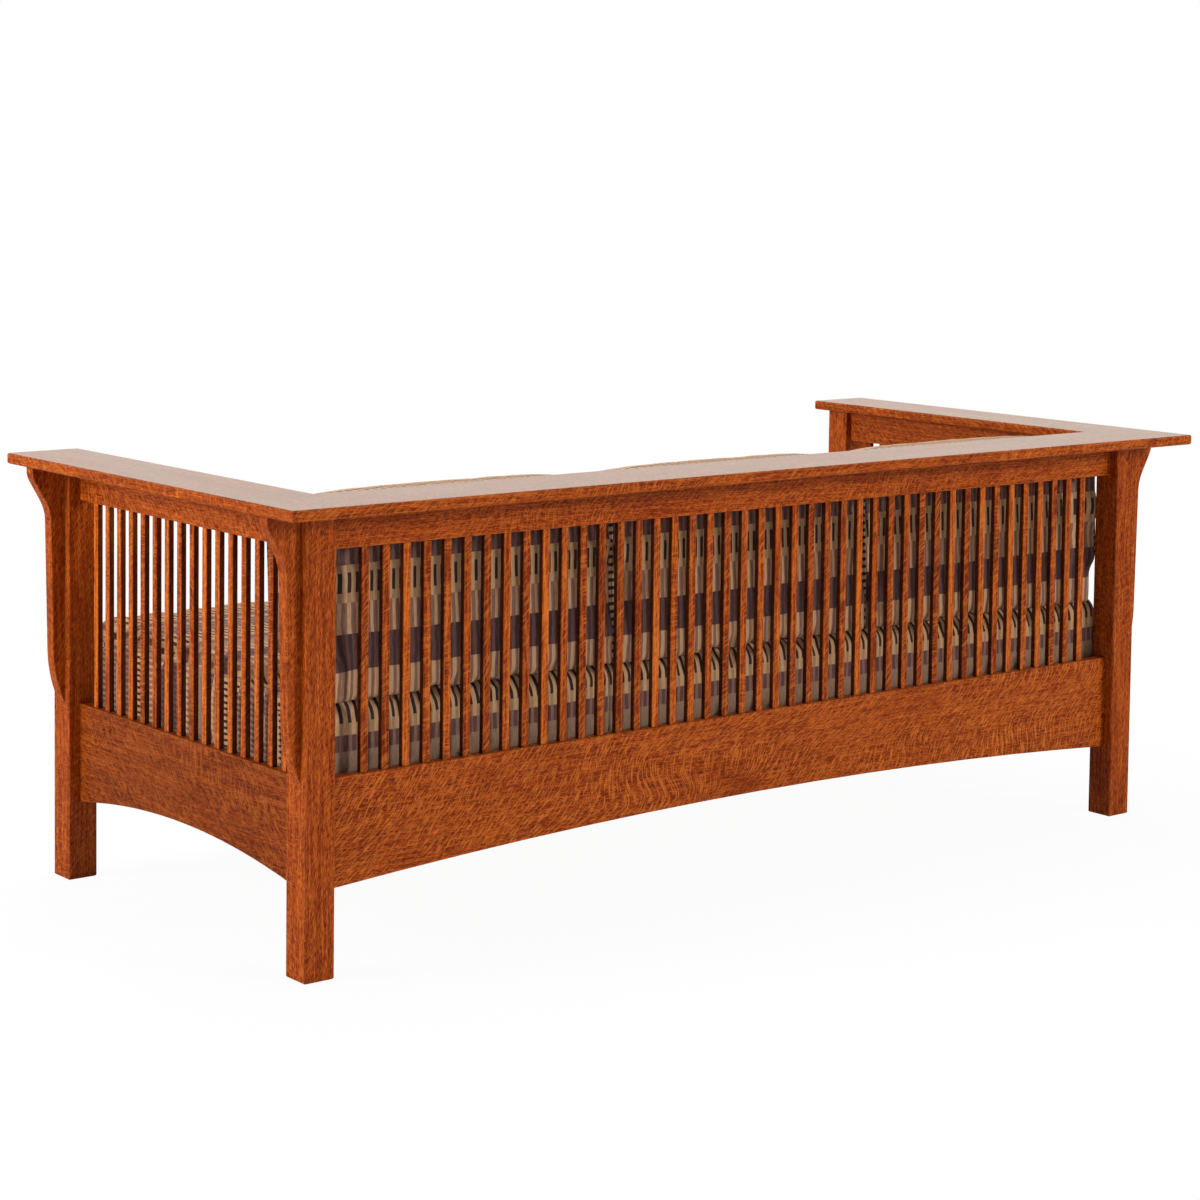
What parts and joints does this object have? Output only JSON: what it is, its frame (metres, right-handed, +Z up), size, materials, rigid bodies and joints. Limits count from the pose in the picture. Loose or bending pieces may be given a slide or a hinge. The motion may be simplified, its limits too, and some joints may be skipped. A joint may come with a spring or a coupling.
{
  "type": "mission settle",
  "caption": "Long mission settle in oak with spindled back and sides, a flat cap level all round, curved corbels, arched rails and loose striped cushions.",
  "frame": {"origin": "on the floor under the middle of the cap's outline", "axes": "+Z up, +X along the settle's length to the right as seen from in front, +Y towards its back, so a person who sits on it looks along -Y"},
  "size_m": [2.134, 0.96, 0.777],
  "materials": {
    "oak": "quarter-sawn oak, red-brown stain, satin varnish",
    "plain_wood": "planed, unfinished",
    "deck_cloth": "plain woven cloth",
    "cushion_fabric": "heavy woven stripes and bands in tan, mauve-brown and plum"
  },
  "bodies": {
    "settle_frame": {"back_left_post": "oak", "back_right_post": "oak", "front_left_post": "oak", "front_right_post": "oak", "back_left_corbel": "oak", "back_right_corbel": "oak", "front_left_corbel": "oak", "front_right_corbel": "oak", "back_top_rail": "oak", "back_bottom_rail": "oak", "front_rail": "oak", "left_top_rail": "oak", "right_top_rail": "oak", "left_bottom_rail": "oak", "right_bottom_rail": "oak", "back_spindles": "oak", "left_spindles": "oak", "right_spindles": "oak", "back_cap": "oak", "left_arm_cap": "oak", "right_arm_cap": "oak", "mitre_splines": "oak", "cap_tenons": "oak", "tenon_pegs": "oak", "back_cleat": "plain_wood", "front_cleat": "plain_wood", "seat_slats": "plain_wood", "seat_deck_pad": "deck_cloth"},
    "left_seat": {"left_seat_cushion": "cushion_fabric"},
    "left_back": {"left_back_cushion": "cushion_fabric"},
    "middle_seat": {"middle_seat_cushion": "cushion_fabric"},
    "middle_back": {"middle_back_cushion": "cushion_fabric"},
    "right_seat": {"right_seat_cushion": "cushion_fabric"},
    "right_back": {"right_back_cushion": "cushion_fabric"}
  },
  "joints": [
    {"name": "left_seat_slide", "type": "slide", "parent": "settle_frame", "child": "left_seat", "axis": [0, -1, 0], "range_m": [0, 0.8]},
    {"name": "left_back_slide", "type": "slide", "parent": "left_seat", "child": "left_back", "axis": [0, -0.7071, 0.7071], "range_m": [0, 0.4]},
    {"name": "middle_seat_slide", "type": "slide", "parent": "settle_frame", "child": "middle_seat", "axis": [0, -1, 0], "range_m": [0, 0.8]},
    {"name": "middle_back_slide", "type": "slide", "parent": "middle_seat", "child": "middle_back", "axis": [0, -0.7071, 0.7071], "range_m": [0, 0.4]},
    {"name": "right_seat_slide", "type": "slide", "parent": "settle_frame", "child": "right_seat", "axis": [0, -1, 0], "range_m": [0, 0.8]},
    {"name": "right_back_slide", "type": "slide", "parent": "right_seat", "child": "right_back", "axis": [0, -0.7071, 0.7071], "range_m": [0, 0.4]}
  ]
}
